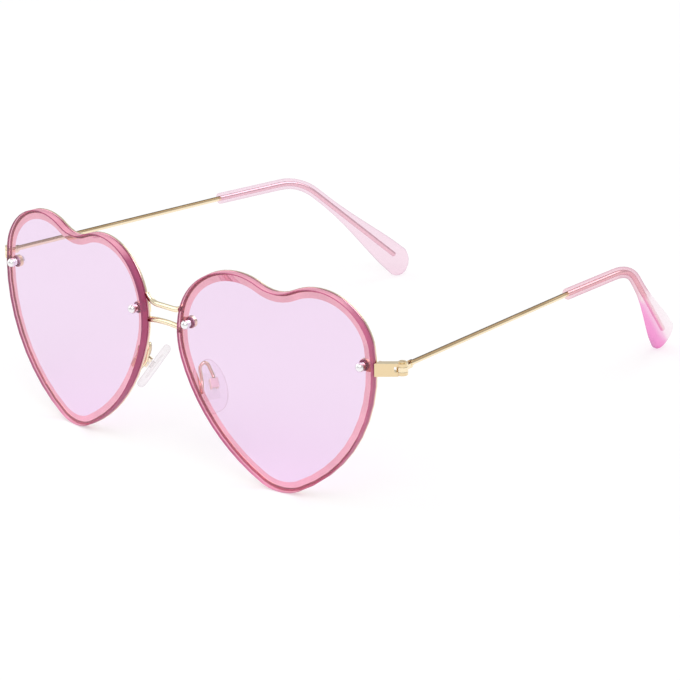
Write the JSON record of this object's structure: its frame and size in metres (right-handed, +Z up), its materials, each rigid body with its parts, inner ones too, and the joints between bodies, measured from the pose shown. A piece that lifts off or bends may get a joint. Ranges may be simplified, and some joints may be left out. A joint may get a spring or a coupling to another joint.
{
  "type": "heart shaped sunglasses",
  "caption": "Heart shaped sunglasses: lilac bevelled lenses on gold wire rims, double bridge, adjustable nose pads and folding wire temples with plastic tips.",
  "frame": {"origin": "middle of the whole part's box, on the surface that the open glasses stand on", "axes": "+Z up, the front with the lenses faces -Y, the temples run back along +Y, +X is the wearer's left"},
  "size_m": [0.1436, 0.1578, 0.0575],
  "materials": {
    "lens_plastic": "polished, lilac tint with a pink bevel",
    "gold_metal": "polished pale gold plating",
    "silver_metal": "bright turned metal",
    "clear_bush": "clear",
    "tip_plastic": "polished translucent pink",
    "pad_silicone": "soft translucent",
    "insert_plastic": "plain"
  },
  "bodies": {
    "front": {"lens_left": "lens_plastic", "lens_right": "lens_plastic", "rim_wire_left": "gold_metal", "rim_wire_right": "gold_metal", "bridge_upper_bar": "gold_metal", "bridge_lower_bar": "gold_metal", "nose_lug_left": "gold_metal", "nose_lug_right": "gold_metal", "end_piece_left": "gold_metal", "end_piece_right": "gold_metal", "lens_studs_left": "silver_metal", "lens_studs_right": "silver_metal", "stud_bushes_left": "clear_bush", "stud_bushes_right": "clear_bush", "stud_nuts_left": "silver_metal", "stud_nuts_right": "silver_metal", "hinge_screw_left": "gold_metal", "hinge_screw_right": "gold_metal", "pad_arm_left": "gold_metal", "pad_arm_right": "gold_metal", "pad_box_left": "gold_metal", "pad_box_right": "gold_metal", "pad_screw_left": "silver_metal", "pad_screw_right": "silver_metal"},
    "temple_left": {"temple_wire_left": "gold_metal", "temple_tip_left": "tip_plastic"},
    "temple_right": {"temple_wire_right": "gold_metal", "temple_tip_right": "tip_plastic"},
    "pad_left": {"nose_pad_left": "pad_silicone", "pad_insert_left": "insert_plastic"},
    "pad_right": {"nose_pad_right": "pad_silicone", "pad_insert_right": "insert_plastic"}
  },
  "joints": [
    {"name": "temple_fold_left", "type": "hinge", "parent": "front", "child": "temple_left", "pos_m": [0.07035, -0.06263, 0.03924], "axis": [0, 0, 1], "range_deg": [0, 71]},
    {"name": "temple_fold_right", "type": "hinge", "parent": "front", "child": "temple_right", "pos_m": [-0.07035, -0.06263, 0.03924], "axis": [0, 0, -1], "range_deg": [0, 80]},
    {"name": "pad_tilt_left", "type": "hinge", "parent": "front", "child": "pad_left", "pos_m": [0.0122, -0.06959, 0.02314], "axis": [-0.5, -0.866, -0.0071], "range_deg": [-6, 6]},
    {"name": "pad_tilt_right", "type": "hinge", "parent": "front", "child": "pad_right", "pos_m": [-0.0122, -0.06959, 0.02314], "axis": [-0.5, 0.866, 0.0071], "range_deg": [-6, 6]}
  ]
}
